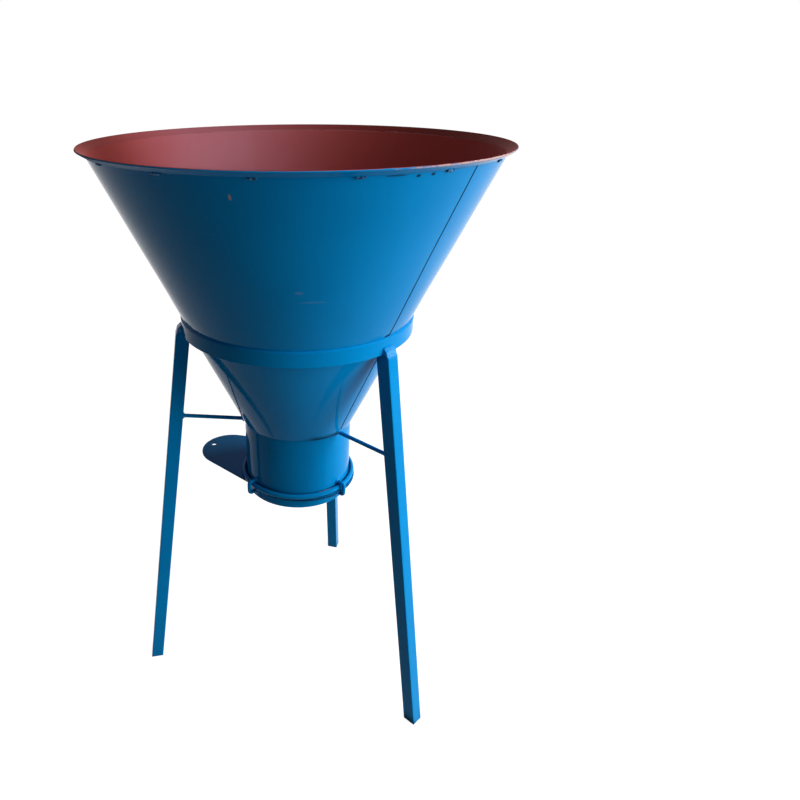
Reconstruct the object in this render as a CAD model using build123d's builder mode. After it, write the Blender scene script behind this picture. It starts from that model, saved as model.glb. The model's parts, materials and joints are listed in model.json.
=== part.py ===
from build123d import *
import os
from math import asin, atan2, cos, degrees, radians, sin, sqrt, tan

# Aggregate test funnel: a sheet-steel hopper in a welded stand, with a sliding gate under its spout.
# Sizes are in millimetres and degrees. The floor is z = 0 and the funnel's axis is the Z axis.
# The gate pulls out along -X, and angles run anticlockwise from +X, seen from above.

# Hopper
rim_diameter = 545
cone_half_angle = 24.5
hopper_sheet = 2
seam_angle = -15.5
seam_width = 0.8
seam_bead_width = 5

# Flared hoop on the hopper's top edge
lip_width = 11
lip_angle = 58
lip_sheet = 2
rim_tack_count = 16
rim_tack_length = 12
rim_tack_height = 3

# Spout and outlet: the collar below the gate has the spout's diameter
outlet_height = 348
collar_height = 15
collar_sheet = 2
spout_length = 104
spout_diameter = 165
spout_sheet = 2
spout_lap = 3
spout_bead_height = 4
ring_rod = 8

# Sliding gate
gate_sheet = 3
gate_reach = 181
gate_tip_radius = 48
pull_hole_diameter = 8
pull_hole_to_tip = 14

# Rod clips that carry the outlet collar across the gate's slot
clip_rod = 6
clip_bend_radius = 4.5
clip_above_ring = 0.5
clip_outside_ring = 1.5
guide_clip_from_handle = 66
stop_clip_angle = -13.5

# Stand: the legs were set by eye, so that the last gap between them is wider than the other two
band_diameter = 326
band_height = 20
band_thickness = 3
foot_circle_diameter = 528
leg_angle = -16.5
leg_step = 118
leg_tube = 20
leg_wall = 1.5
leg_corner_radius = 2.5
leg_top_radius = 4.5
leg_outside_band = 8.5
leg_bead_width = 4.5
leg_bead_height = 7
brace_rod = 6
brace_above_edge = 1.2
front_brace_rise = 14.5
rod_bead = 2.5

# Clearances
weld_gap = 0.1
gate_gap_below = 0.2
gate_gap_above = 0.8
gate_gap_side = 0.8
gate_gap_stop = 0.4

# Heights and radii of the outlet, from the floor up
collar_top = outlet_height + collar_height
gate_bottom = collar_top + gate_gap_below
spout_bottom = gate_bottom + gate_sheet + gate_gap_above
spout_top = spout_bottom + spout_length
spout_radius = spout_diameter / 2
weld_radius = spout_radius + weld_gap
ring_radius = weld_radius + ring_rod / 2
ring_height = spout_bottom + ring_rod / 2

# Cone: its lower edge laps over the spout
cone_slope = tan(radians(cone_half_angle))
cone_wall = hopper_sheet / cos(radians(cone_half_angle))
cone_bottom = spout_top - spout_lap
cone_bottom_radius = weld_radius + cone_wall
cone_top_radius = rim_diameter / 2 - lip_width
cone_top = cone_bottom + (cone_top_radius - cone_bottom_radius) / cone_slope


def cone_radius(height):
    """Outside radius of the hopper cone at a height."""
    return cone_bottom_radius + (height - cone_bottom) * cone_slope


def cone_inside(height):
    """Inside radius of the hopper cone at a height."""
    return cone_radius(height) - cone_wall


def radial_plane(angle):
    """Upright plane through the axis: its x runs outwards at the angle and its y runs up."""
    outward = Vector(1, 0, 0).rotate(Axis.Z, angle)
    return Plane(origin=(0, 0, 0), x_dir=outward, z_dir=outward.cross(Vector(0, 0, 1)))


def ring_of(points):
    """Closed hoop made by turning a cross-section of radii and heights about the funnel's axis."""
    with BuildPart() as hoop:
        with BuildSketch(Plane.XZ):
            with BuildLine():
                Polyline(*points, close=True)
            make_face()
        revolve(axis=Axis.Z)
    return hoop


def rod_weld(plane, end, run, rod, wall):
    """Tapered bead round a rod's end: the rod lies in the plane and runs away from the wall."""
    across = Vector(-run.Y, run.X)
    inside = end + across * (rod / 2 + weld_gap)
    outside = inside + across * rod_bead
    corners = [inside - run * rod_bead, outside - run * rod_bead, outside, inside + run * rod_bead]
    with BuildPart() as bead:
        with BuildSketch(plane):
            with BuildLine():
                Polyline(*[(corner.X, corner.Y) for corner in corners], close=True)
            make_face()
        revolve(axis=Axis(plane.from_local_coords(end), plane.x_dir * run.X + Vector(0, 0, run.Y)))
    return bead.part.split(wall, keep=Keep.TOP)


def write(piece, name):
    """Label a finished piece and write it to its own file."""
    piece.part.label = name
    export_step(piece.part, f"parts/{name}.step")


os.makedirs("parts", exist_ok=True)

# Hopper cone: one rolled sheet, with an open seam down one side
with BuildPart() as hopper_cone:
    with BuildSketch(Plane.XZ):
        with BuildLine():
            Polyline(
                (cone_inside(cone_bottom), cone_bottom),
                (cone_radius(cone_bottom), cone_bottom),
                (cone_radius(cone_top), cone_top),
                (cone_inside(cone_top), cone_top),
                close=True,
            )
        make_face()
    revolve(axis=Axis.Z)
    with BuildSketch(radial_plane(seam_angle)):
        Rectangle(rim_diameter, cone_top + lip_width, align=(Align.MIN, Align.MIN))
    extrude(amount=seam_width / 2, both=True, mode=Mode.SUBTRACT)
write(hopper_cone, "hopper_cone")

# Seam weld: a half-round bead down the inside of the cone, over the seam
seam_plane = radial_plane(seam_angle)
seam_bead_start = spout_top + 2 * spout_bead_height
seam_bead_end = cone_top - seam_bead_width
seam_run = seam_plane.x_dir * sin(radians(cone_half_angle)) + Vector(0, 0, cos(radians(cone_half_angle)))
seam_inward = Vector(0, 0, sin(radians(cone_half_angle))) - seam_plane.x_dir * cos(radians(cone_half_angle))
seam_foot = seam_plane.from_local_coords(Vector(cone_inside(seam_bead_start), seam_bead_start, 0))
with BuildPart() as seam_weld:
    with BuildSketch(Plane(seam_foot + seam_inward * weld_gap, x_dir=seam_inward, z_dir=seam_run)):
        Circle(seam_bead_width / 2)
        split(bisect_by=Plane.YZ)
    extrude(amount=(seam_bead_end - seam_bead_start) / cos(radians(cone_half_angle)))
write(seam_weld, "seam_weld")

# Rim hoop: a flared strip that stands on the cone's top edge
rim_radius = rim_diameter / 2
hoop_bottom = cone_top + weld_gap
hoop_foot = cone_inside(cone_top) + lip_sheet / cos(radians(lip_angle))
hoop_edge = hoop_bottom + (rim_radius - hoop_foot) / tan(radians(lip_angle))
rim_hoop = ring_of([
    (cone_inside(cone_top), hoop_bottom),
    (hoop_foot, hoop_bottom),
    (rim_radius, hoop_edge),
    (
        rim_radius - lip_sheet * cos(radians(lip_angle)),
        hoop_edge + lip_sheet * sin(radians(lip_angle)),
    ),
])
write(rim_hoop, "rim_hoop")

# Rim tacks: short fillet welds in the corner between the cone and the hoop above it
rim_tack_bottom = cone_top - rim_tack_height
with BuildPart() as rim_tacks:
    for tack in range(rim_tack_count):
        with BuildSketch(radial_plane(seam_angle + (tack + 0.5) * 360 / rim_tack_count)):
            with BuildLine():
                Polyline(
                    (cone_radius(cone_top) + weld_gap, cone_top),
                    (hoop_foot, cone_top),
                    (cone_radius(rim_tack_bottom) + weld_gap, rim_tack_bottom),
                    close=True,
                )
            make_face()
        revolve(axis=Axis.Z, revolution_arc=degrees(rim_tack_length / cone_top_radius))
write(rim_tacks, "rim_tacks")

# Spout tube: its top edge stands inside the cone
with BuildPart() as spout_tube:
    with BuildSketch(Plane.XY.offset(spout_bottom)):
        Circle(spout_radius)
        Circle(spout_radius - spout_sheet, mode=Mode.SUBTRACT)
    extrude(amount=spout_length)
write(spout_tube, "spout_tube")

# Spout weld: a bead inside the cone, on the spout's top edge
spout_bead_bottom = spout_top + weld_gap
spout_bead_top = spout_bead_bottom + spout_bead_height
spout_weld = ring_of([
    (spout_radius - spout_sheet / 2, spout_bead_bottom),
    (cone_inside(spout_bead_bottom) - weld_gap, spout_bead_bottom),
    (cone_inside(spout_bead_top) - weld_gap, spout_bead_top),
])
write(spout_weld, "spout_weld")

# Spout ring: a round rod bent round the spout's lower edge
with BuildPart() as spout_ring:
    with BuildSketch(Plane.XZ):
        with Locations((ring_radius, ring_height)):
            Circle(ring_rod / 2)
    revolve(axis=Axis.Z)
write(spout_ring, "spout_ring")

# Outlet collar: a short tube below the gate's slot
with BuildPart() as outlet_collar:
    with BuildSketch(Plane.XY.offset(outlet_height)):
        Circle(spout_radius)
        Circle(spout_radius - collar_sheet, mode=Mode.SUBTRACT)
    extrude(amount=collar_height)
write(outlet_collar, "outlet_collar")

# Clips: C-shaped rods from the spout, round the ring and the gate, to the collar.
# The lower bend ends at the gate's underside, so that the gate meets only the clip's straight run.
clip_radius = ring_radius + ring_rod / 2 + clip_outside_ring + clip_rod / 2
ring_top = ring_height + ring_rod / 2
clip_upper_arm = ring_top + clip_above_ring + clip_rod / 2
clip_lower_arm = gate_bottom - clip_bend_radius
clip_angles = {
    "guide_clip_front": 180 + guide_clip_from_handle,
    "guide_clip_rear": 180 - guide_clip_from_handle,
    "stop_clip": stop_clip_angle,
}
for clip_name, angle in clip_angles.items():
    with BuildPart() as clip:
        with BuildLine(radial_plane(angle)) as clip_path:
            FilletPolyline(
                (weld_radius, clip_upper_arm),
                (clip_radius, clip_upper_arm),
                (clip_radius, clip_lower_arm),
                (weld_radius, clip_lower_arm),
                radius=clip_bend_radius,
            )
        with BuildSketch(Plane(clip_path.line @ 0, z_dir=clip_path.line % 0)):
            Circle(clip_rod / 2)
        sweep()
    write(clip, clip_name)

# Clip welds: beads round both ends of each clip, clear of the ring and of the gate's slot
clip_beads = []
for angle in clip_angles.values():
    plane = radial_plane(angle)
    wall = Plane(plane.from_local_coords(Vector(weld_radius, 0)), z_dir=plane.x_dir)
    upper_bead = rod_weld(plane, Vector(weld_radius, clip_upper_arm), Vector(1, 0), clip_rod, wall)
    lower_bead = rod_weld(plane, Vector(weld_radius, clip_lower_arm), Vector(1, 0), clip_rod, wall)
    clip_beads.append(upper_bead.split(Plane.XY.offset(ring_top + weld_gap), keep=Keep.TOP))
    clip_beads.append(lower_bead.split(Plane.XY.offset(collar_top), keep=Keep.BOTTOM))
with BuildPart() as clip_welds:
    add(clip_beads)
write(clip_welds, "clip_welds")

# Gate plate: a paddle that runs between the guide clips and closes against the stop clip
stop_clip_x = clip_radius * cos(radians(stop_clip_angle))
stop_clip_y = clip_radius * sin(radians(stop_clip_angle))
gate_radius = clip_radius * sin(radians(guide_clip_from_handle)) - clip_rod / 2 - gate_gap_side
gate_to_stop = gate_radius + gate_gap_stop + clip_rod / 2
gate_home = stop_clip_x - sqrt(gate_to_stop**2 - stop_clip_y**2)
with BuildPart() as gate_plate:
    with BuildSketch(Plane.XY.offset(gate_bottom)):
        with Locations((gate_home, 0)):
            Circle(gate_radius)
        with Locations((gate_tip_radius - gate_reach, 0)):
            Circle(gate_tip_radius)
        make_hull()
        with Locations((pull_hole_to_tip - gate_reach, 0)):
            Circle(pull_hole_diameter / 2, mode=Mode.SUBTRACT)
    extrude(amount=gate_sheet)
write(gate_plate, "gate_plate")

# Support band: a flat-bar hoop whose top edge the cone rests in
band_inner_radius = band_diameter / 2
band_outer_radius = band_inner_radius + band_thickness
band_top = cone_bottom + (band_inner_radius - weld_gap - cone_bottom_radius) / cone_slope
band_bottom = band_top - band_height
with BuildPart() as support_band:
    with BuildSketch(Plane.XY.offset(band_bottom)):
        Circle(band_outer_radius)
        Circle(band_inner_radius, mode=Mode.SUBTRACT)
    extrude(amount=band_height)
write(support_band, "support_band")

# Leg line: straight from the foot to a shoulder that stands outside the band's lower edge
leg_bore = leg_tube - 2 * leg_wall
leg_top = band_bottom - weld_gap
foot = Vector(foot_circle_diameter / 2, 0)
shoulder = Vector(band_outer_radius + leg_outside_band, leg_top)
foot_to_shoulder = shoulder - foot
leg_lean = atan2(-foot_to_shoulder.X, foot_to_shoulder.Y) + asin(leg_tube / 2 / foot_to_shoulder.length)
leg_angles = {
    "right": leg_angle,
    "rear": leg_angle + leg_step,
    "front": leg_angle + 2 * leg_step,
}


def leg_face(height, offset):
    """Radius of a leg's line at a height, moved outwards across the leg by an offset."""
    return foot.X + offset / cos(leg_lean) - height * tan(leg_lean)


def leg_bar(plane, width, corner_radius, top, top_radius):
    """Square bar along a leg, cut level at the floor and at its top, with its outer top edge rounded."""
    run = plane.x_dir * -sin(leg_lean) + Vector(0, 0, cos(leg_lean))
    with BuildPart() as bar:
        with BuildSketch(Plane(plane.from_local_coords(foot), x_dir=plane.z_dir, z_dir=run)):
            RectangleRounded(width, width, corner_radius)
        extrude(amount=2 * top, both=True)
        with BuildSketch(plane) as side_view:
            with BuildLine():
                Polyline(
                    (0, 0),
                    (leg_face(0, width / 2), 0),
                    (leg_face(top, width / 2), top),
                    (0, top),
                    close=True,
                )
            make_face()
            fillet(side_view.vertices().sort_by(SortBy.DISTANCE)[-1], top_radius)
        extrude(amount=width, both=True, mode=Mode.INTERSECT)
    return bar.part


# Legs: square tubes with closed tops, which stand under the band
for side, angle in leg_angles.items():
    plane = radial_plane(angle)
    with BuildPart() as leg:
        add(leg_bar(plane, leg_tube, leg_corner_radius, leg_top, leg_top_radius))
        add(
            leg_bar(
                plane,
                leg_bore,
                leg_corner_radius - leg_wall,
                leg_top - leg_wall,
                leg_top_radius - leg_wall,
            ),
            mode=Mode.SUBTRACT,
        )
    write(leg, f"leg_{side}")

# Leg welds: fillet beads on each leg's top, against the band
leg_bead_corner = Vector(band_outer_radius + weld_gap, leg_top + weld_gap)
with BuildPart() as leg_welds:
    for angle in leg_angles.values():
        with BuildSketch(radial_plane(angle)):
            with BuildLine():
                Polyline(
                    leg_bead_corner,
                    leg_bead_corner + Vector(leg_bead_width, 0),
                    leg_bead_corner + Vector(0, leg_bead_height),
                    close=True,
                )
            make_face()
        extrude(amount=leg_tube / 2 - leg_corner_radius, both=True)
write(leg_welds, "leg_welds")

# Braces: rods from the cone's lower edge to the inner face of each leg
brace_height = cone_bottom + brace_above_edge
brace_rises = {"right": 0, "rear": 0, "front": front_brace_rise}
brace_beads = []
for side, angle in leg_angles.items():
    plane = radial_plane(angle)
    outward = plane.x_dir
    inner_end = Vector(cone_radius(brace_height), brace_height)
    outer_height = brace_height + brace_rises[side]
    outer_end = Vector(leg_face(outer_height, -leg_tube / 2), outer_height)
    run = (outer_end - inner_end).normalized()
    rod_run = outward * run.X + Vector(0, 0, run.Y)
    cone_normal = outward * cos(radians(cone_half_angle)) - Vector(0, 0, sin(radians(cone_half_angle)))
    leg_normal = outward * -cos(leg_lean) - Vector(0, 0, sin(leg_lean))
    cone_wall_plane = Plane(plane.from_local_coords(inner_end) + cone_normal * weld_gap, z_dir=cone_normal)
    leg_wall_plane = Plane(plane.from_local_coords(outer_end) + leg_normal * weld_gap, z_dir=leg_normal)
    with BuildPart() as brace:
        with BuildSketch(Plane(plane.from_local_coords(inner_end), z_dir=rod_run)):
            Circle(brace_rod / 2)
        extrude(amount=foot_circle_diameter / 2, both=True)
        split(bisect_by=cone_wall_plane)
        split(bisect_by=leg_wall_plane)
    write(brace, f"brace_{side}")
    brace_beads.append(rod_weld(plane, inner_end, run, brace_rod, cone_wall_plane))
    brace_beads.append(rod_weld(plane, outer_end, -run, brace_rod, leg_wall_plane))

# Brace welds: beads round both ends of each brace
with BuildPart() as brace_welds:
    add(brace_beads)
write(brace_welds, "brace_welds")
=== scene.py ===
import json
import math

import bmesh
import bpy
import numpy as np
from mathutils import Matrix, Vector

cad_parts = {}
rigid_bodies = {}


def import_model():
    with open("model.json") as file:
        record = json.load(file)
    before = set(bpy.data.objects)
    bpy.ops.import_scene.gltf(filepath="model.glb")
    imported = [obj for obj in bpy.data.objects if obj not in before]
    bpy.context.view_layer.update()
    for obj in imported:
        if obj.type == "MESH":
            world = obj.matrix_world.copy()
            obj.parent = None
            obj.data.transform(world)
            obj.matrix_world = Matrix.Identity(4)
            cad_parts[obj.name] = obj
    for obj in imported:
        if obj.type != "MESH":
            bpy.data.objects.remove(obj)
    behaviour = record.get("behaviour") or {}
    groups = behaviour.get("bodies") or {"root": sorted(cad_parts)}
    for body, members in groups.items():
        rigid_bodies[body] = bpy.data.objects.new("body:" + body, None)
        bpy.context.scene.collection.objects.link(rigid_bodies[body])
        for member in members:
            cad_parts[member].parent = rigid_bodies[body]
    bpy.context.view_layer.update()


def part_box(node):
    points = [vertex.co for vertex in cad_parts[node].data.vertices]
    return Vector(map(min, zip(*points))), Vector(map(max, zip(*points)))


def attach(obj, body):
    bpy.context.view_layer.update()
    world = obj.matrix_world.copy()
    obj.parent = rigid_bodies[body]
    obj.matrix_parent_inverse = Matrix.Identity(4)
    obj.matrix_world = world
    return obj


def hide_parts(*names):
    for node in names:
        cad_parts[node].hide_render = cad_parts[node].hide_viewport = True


for leftover in list(bpy.data.objects):
    bpy.data.objects.remove(leftover)
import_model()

bl_info = {
    "name": "Aggregate Test Funnel",
    "version": (1, 0, 0),
    "blender": (4, 5, 0),
    "location": "3D View > Sidebar > Funnel",
    "description": "Dresses the welded test funnel and its sliding gate",
    "category": "Object",
}

# Sizes that the solids already have, in metres, from the low and the high corner of each one's box
(_, _, SPOUT_BOTTOM), (SPOUT_RADIUS, _, SPOUT_TOP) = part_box("spout_tube")
(_, _, COLLAR_BOTTOM), (_, _, COLLAR_TOP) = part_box("outlet_collar")
(_, _, RING_BOTTOM), (RING_OUTSIDE, _, RING_TOP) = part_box("spout_ring")
(_, _, CONE_BOTTOM), (CONE_TOP_RADIUS, _, CONE_TOP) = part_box("hopper_cone")
(_, _, HOOP_BOTTOM), (RIM_RADIUS, _, _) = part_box("rim_hoop")
(_, _, BAND_BOTTOM), (BAND_OUTSIDE, _, BAND_TOP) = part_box("support_band")
(_, _, BRACE_BOTTOM), (_, _, BRACE_TOP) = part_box("brace_rear")
(_, _, CLIP_BOTTOM), (CLIP_REACH, _, CLIP_TOP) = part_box("stop_clip")
(_, _, SEAM_BEAD_BOTTOM), (_, _, SEAM_BEAD_TOP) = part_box("seam_weld")
LEG_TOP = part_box("leg_rear")[1].z
GATE_LOW, GATE_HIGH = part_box("gate_plate")
# The braces and the clips are of one rod
ROD_RADIUS = (BRACE_TOP - BRACE_BOTTOM) / 2

UP = np.array([0.0, 0.0, 1.0])

# Points in a circle about the axis, round a rod, round a weld bead and on a rounded corner
CIRCLE_STEPS = 288
ROD_STEPS = 20
BEAD_STEPS = 14
ROUND_STEPS = 5

# Points round the cone's sheet, along the bead in its seam and round the bead on the spout
SHEET_STEPS = 340
SEAM_STEPS = 700
SPOUT_BEAD_STEPS = 540

# Edges sharper than this stay sharp, and points closer than this are one
SHARP_ANGLE = math.radians(38)
MERGE_DISTANCE = 1e-6

# Weld beads: half width, half height and length of a ripple, in metres
TACK_BEAD = (0.0016, 0.0012, 0.004)
SEAM_BEAD = (0.0023, 0.0014, 0.005)
SPOUT_BEAD = (0.0026, 0.0018, 0.005)
CLIP_BEAD = (0.0015, 0.0020, 0.005)
BRACE_BEAD = (0.0016, 0.0024, 0.005)
# From a rod's surface out to the middle of the bead round its end
BEAD_OFFSET = 0.0004

# Tack welds under the rim hoop
TACKS = 16
TACK_LENGTH = 0.012

# Patches round the axis: middle and half width, in degrees. In turn: stone dust with a painted sheen in the
# lining, painted shade in the lining, painted shade on the lip's inner face, a worn edge with a painted
# highlight on the lip, painted shade under the lip, a painted glint on the ring, and the cone's loose edge
DUST_AND_SHEEN = (148, 33)
LINING_SHADE = (204, 24)
LIP_INNER_SHADE = (62, 66)
LIP_WEAR_AND_GLINT = (-12, 34)
LIP_UNDERSIDE_SHADE = (-140, 45)
RING_GLINT = (-32, 11)
LOOSE_EDGE = (-33, 15)

# How far the cone's loose lower edge stands off the spout, and the height over which that dies out
LOOSE_GAP = 0.0016
LOOSE_HEIGHT = 0.012

# Waves of the rolled sheet: strength, waves in a full turn, shift from bottom to top and phase
SHEET_WAVES = ((1.0, 3, 7, 0), (0.6, 7, -11, 2), (0.3, 13, 17, 0))

# Marks on the cone's outside: turn in degrees, height, half width, half height and strength
CHIPS = ((-76, 0.836, 0.0016, 0.0065, 1.0),
         (-60.7, 0.7265, 0.005, 0.002, 0.10),
         (-56, 0.7138, 0.016, 0.0012, 0.08))
# Dark spots: a stain above the band, two scorched tacks under the rim, and a thin line of painted shade under
# the lip
DARK_SPOTS = ((-16.8, BAND_TOP + 0.0032, 0.0060, 0.0024, 0.9),
              (-34.2, CONE_TOP - 0.0030, 0.0028, 0.0016, 0.9),
              (-30.2, CONE_TOP - 0.0028, 0.0030, 0.0016, 0.9),
              (-39.8, CONE_TOP - 0.0012, 0.0130, 0.0009, 0.7))

# How strongly the enamel, the primer, and the dark and pale marks (scorch, painted shade, wear and painted
# glints) mirror, seen face on
ENAMEL_MIRROR = 0.034
PRIMER_MIRROR = 0.012
MATT_MIRROR = 0.003

# Points on the gate's round end and on its handle's tip
GATE_END_STEPS = 120
GATE_TIP_STEPS = 80

# Feet: how dark the sides of each one get towards the floor, how high that reaches, and how far up the plug
# in the tube sits
FOOT_DARKENING = {"right": 0.85, "rear": 0.4, "front": 0.2}
FOOT_DARKENING_HEIGHT = 0.011
PLUG_HEIGHT = 0.03

# Lamps: turn from the camera in degrees, distance from the axis, height, width and power in watts.
# A broad window light low on the right, a narrower one nearer to the camera, and one high up
LAMPS = {"window_light": (84, 2.6, 1.45, 2.6, 95),
         "door_light": (62, 2.6, 1.30, 1.6, 30),
         "skylight": (50, 0.80, 3.2, 1.6, 18)}
LAMP_AIM = Vector((0, 0, 0.6))
FLOOR_REACH = 40.0


class FunnelSizes(bpy.types.PropertyGroup):
    """Sizes of the welded pieces that a user may change."""

    sheet: bpy.props.FloatProperty(
        name="Sheet", description="Thickness of the rolled sheet", default=0.002, unit="LENGTH")
    band_sheet: bpy.props.FloatProperty(
        name="Band", description="Thickness of the support band", default=0.003, unit="LENGTH")
    edge_round: bpy.props.FloatProperty(
        name="Edge rounding", description="How far paint rounds a cut edge", default=0.0005, unit="LENGTH")
    dent_depth: bpy.props.FloatProperty(
        name="Sheet waviness", description="How far the cone is from true", default=0.00035, unit="LENGTH")
    cone_half_angle: bpy.props.FloatProperty(
        name="Cone half angle", description="Slope of the cone from upright", default=math.radians(24.5),
        unit="ROTATION")
    lip_angle: bpy.props.FloatProperty(
        name="Lip angle", description="Slope of the flared hoop from upright", default=math.radians(58),
        unit="ROTATION")
    seam_angle: bpy.props.FloatProperty(
        name="Seam", description="Where the cone's seam runs, from the X axis", default=math.radians(-15.5),
        unit="ROTATION")
    seam_width: bpy.props.FloatProperty(
        name="Seam width", description="Open width of the cone's seam", default=0.0008, unit="LENGTH")
    leg_angle: bpy.props.FloatProperty(
        name="First leg", description="Where the first leg stands, from the X axis",
        default=math.radians(-16.5), unit="ROTATION")
    leg_step: bpy.props.FloatProperty(
        name="Leg step", description="Turn from one leg to the next", default=math.radians(118),
        unit="ROTATION")
    foot_radius: bpy.props.FloatProperty(
        name="Foot circle", description="Radius of the circle of the feet", default=0.264, unit="LENGTH")
    leg_tube: bpy.props.FloatProperty(
        name="Leg tube", description="Width of the square tube", default=0.02, unit="LENGTH")
    leg_wall: bpy.props.FloatProperty(
        name="Leg wall", description="Wall of the square tube", default=0.0015, unit="LENGTH")
    leg_corner: bpy.props.FloatProperty(
        name="Leg corner", description="Outside corner radius of the tube", default=0.0015, unit="LENGTH")
    leg_shoulder: bpy.props.FloatProperty(
        name="Leg shoulder", description="Rounding of its outer top edge", default=0.0045, unit="LENGTH")
    leg_outside_band: bpy.props.FloatProperty(
        name="Leg proud of band", description="How far its top stands out", default=0.0085, unit="LENGTH")
    front_brace_rise: bpy.props.FloatProperty(
        name="Front brace rise", description="How far it climbs to its leg", default=0.0145, unit="LENGTH")
    clip_bend: bpy.props.FloatProperty(
        name="Clip bend", description="Bend radius of the rod clips", default=0.0045, unit="LENGTH")
    guide_angle: bpy.props.FloatProperty(
        name="Guide clips", description="Turn from the gate's handle to each guide clip",
        default=math.radians(66), unit="ROTATION")
    stop_angle: bpy.props.FloatProperty(
        name="Stop clip", description="Where the stop clip stands, from the X axis",
        default=math.radians(-13.5), unit="ROTATION")
    gate_tip_radius: bpy.props.FloatProperty(
        name="Gate tip", description="Radius of the handle's end", default=0.048, unit="LENGTH")
    pull_hole_radius: bpy.props.FloatProperty(
        name="Pull hole", description="Radius of the pull hole", default=0.004, unit="LENGTH")
    pull_hole_to_tip: bpy.props.FloatProperty(
        name="Hole to tip", description="From the pull hole to the tip", default=0.014, unit="LENGTH")


class FunnelFinish(bpy.types.PropertyGroup):
    """Colours of the paint, as sRGB hex values."""

    enamel: bpy.props.StringProperty(
        name="Enamel", description="Blue gloss enamel, as sRGB hex", default="#008ED3")
    enamel_thin: bpy.props.StringProperty(
        name="Thin enamel", description="Enamel where the coat is thin", default="#0281C3")
    sheen: bpy.props.StringProperty(
        name="Sheen", description="Tint of what the enamel mirrors when seen face on", default="#59DAFF")
    oxide: bpy.props.StringProperty(
        name="Red oxide", description="Red oxide primer in the hopper", default="#9D4340")
    # In the lining this colour also stands for a painted sheen
    oxide_dust: bpy.props.StringProperty(
        name="Dusty oxide", description="Red oxide under a film of stone dust", default="#A3636E")
    # Painted shade in the lining and on the lip's inner face
    oxide_in_shade: bpy.props.StringProperty(
        name="Deep oxide", description="Red oxide where it is sooty", default="#531B17")
    # Also the colour of painted glints on the rim's edge and the ring
    primer: bpy.props.StringProperty(
        name="Worn edge", description="Pale undercoat that shows on worn edges", default="#BA9E9A")
    # Also the colour of painted shade in corners, gaps, the open seam and under the lip
    scorch: bpy.props.StringProperty(
        name="Scorch", description="Scorched weld and dirt in the corners", default="#1C2530")


class FunnelStage(bpy.types.PropertyGroup):
    """Place and lens of the camera."""

    azimuth: bpy.props.FloatProperty(
        name="Camera azimuth", description="Camera's turn about the funnel, from -Y towards +X",
        default=math.radians(28.763), unit="ROTATION")
    distance: bpy.props.FloatProperty(
        name="Camera distance", description="From the funnel's axis", default=0.8909, unit="LENGTH")
    height: bpy.props.FloatProperty(
        name="Camera height", description="Above the floor", default=0.9460, unit="LENGTH")
    pitch: bpy.props.FloatProperty(
        name="Camera pitch", description="Downward tilt", default=math.radians(27.983), unit="ROTATION")
    roll: bpy.props.FloatProperty(
        name="Camera roll", description="Turn about the view line", default=math.radians(-0.319),
        unit="ROTATION")
    lens: bpy.props.FloatProperty(
        name="Lens", description="Focal length on a 36 mm sensor", default=29.10, unit="CAMERA")
    shift_across: bpy.props.FloatProperty(
        name="Shift across", description="Sideways shift of the lens, in picture widths", default=0.1279)
    shift_up: bpy.props.FloatProperty(
        name="Shift up", description="Upward shift of the lens, in picture widths", default=0.0137)


def sizes():
    """Sizes in use."""
    return bpy.context.scene.funnel_sizes


def outward(angle):
    """Level unit vector that points away from the axis at an angle."""
    return np.array([math.cos(angle), math.sin(angle), 0.0])


def leg_angles():
    """Angles of the legs by name."""
    first, step = sizes().leg_angle, sizes().leg_step
    return {"right": first, "rear": first + step, "front": first + 2 * step}


def cone_radius(height):
    """Outside radius of the cone at a height."""
    return CONE_TOP_RADIUS - (CONE_TOP - height) * math.tan(sizes().cone_half_angle)


def round_patch(turn, patch):
    """Smooth patch round the axis: 1 at its middle, falling off as a bell curve over its half width."""
    middle, half_width = np.radians(patch)
    away = (turn - middle + math.pi) % math.tau - math.pi
    return np.exp(-(away / half_width) ** 2)


def unit(vectors):
    """Vectors divided by their lengths."""
    return vectors / np.linalg.norm(vectors, axis=-1, keepdims=True)


def rounded_loop(corners, radius, run_points):
    """Closed profile: each corner becomes a parabola from one radius before it to one radius after it,
    and each side gets its count of evenly spaced points, with one close to each of its ends."""
    corners = np.asarray(corners, float)
    ahead = unit(np.roll(corners, -1, axis=0) - corners)
    back = -np.roll(ahead, 1, axis=0)
    step = np.linspace(0, 1, ROUND_STEPS)[None, :, None]
    starts = corners + radius * back
    ends = corners + radius * ahead
    bends = (1 - step) ** 2 * starts[:, None] + 2 * step * (1 - step) * corners[:, None]
    bends = bends + step**2 * ends[:, None]
    loop = []
    for bend, end, start, count in zip(bends, ends, np.roll(starts, -1, axis=0), run_points):
        share = min(0.3, radius / np.linalg.norm(start - end))
        along = np.unique(np.r_[share, np.linspace(0, 1, count + 2)[1:-1], 1 - share])
        loop += [bend, end + (start - end) * along[:, None]]
    return np.vstack(loop)


def about_axis(radius, height, turn):
    """Points at a radius and a height, at each angle about the axis."""
    return np.stack([radius * np.cos(turn), radius * np.sin(turn), height + 0 * turn], axis=-1)


def turned(profile, turn):
    """Surface of revolution: a profile of radii and heights turned to each angle in a column of angles."""
    return about_axis(profile[..., 0], profile[..., 1], turn)


def full_turn():
    """Column of evenly spaced angles once round the axis."""
    return np.linspace(0, math.tau, CIRCLE_STEPS, endpoint=False)[:, None]


def rod(path, side):
    """Round rod: a circle carried along a path in one plane, whose normal is side, and closed flat at its
    ends."""
    along = unit(np.gradient(path, axis=0))
    across = np.cross(side, along)
    turn = np.linspace(0, math.tau, ROD_STEPS, endpoint=False)[None, :, None]
    circle = np.cos(turn) * side + np.sin(turn) * across[:, None]
    rings = path[:, None] + ROD_RADIUS * circle
    first = np.broadcast_to(path[0], rings[:1].shape)
    last = np.broadcast_to(path[-1], rings[:1].shape)
    return np.concatenate([first, rings, last])


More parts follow.
